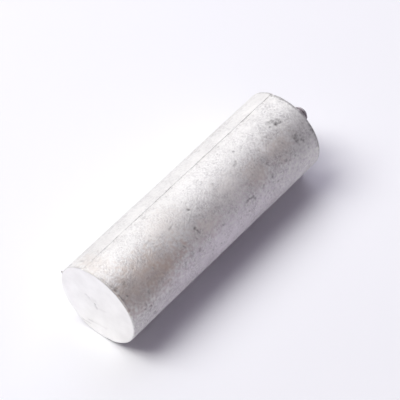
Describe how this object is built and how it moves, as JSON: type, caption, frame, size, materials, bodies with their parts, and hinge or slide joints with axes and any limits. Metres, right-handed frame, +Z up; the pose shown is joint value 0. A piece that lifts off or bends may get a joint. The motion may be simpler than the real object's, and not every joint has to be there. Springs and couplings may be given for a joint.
{
  "type": "sacrificial anode",
  "caption": "Round cast bar of anode alloy with a threaded stud cast into its end, which corrodes in place of the metal that it is screwed to.",
  "frame": {"origin": "on the floor, below the middle of the whole length, where the bar lies on its side", "axes": "+X along the bar's axis towards the stud's tip, +Z up, +Y to the side that the upper mould seam leans towards"},
  "size_m": [0.11, 0.032, 0.0317],
  "materials": {
    "anode_alloy": "matte as-cast skin, faced end",
    "stud_steel": "dull dark rolled thread"
  },
  "bodies": {
    "root": {"anode_casting": "anode_alloy", "threaded_stud": "stud_steel"}
  },
  "joints": []
}
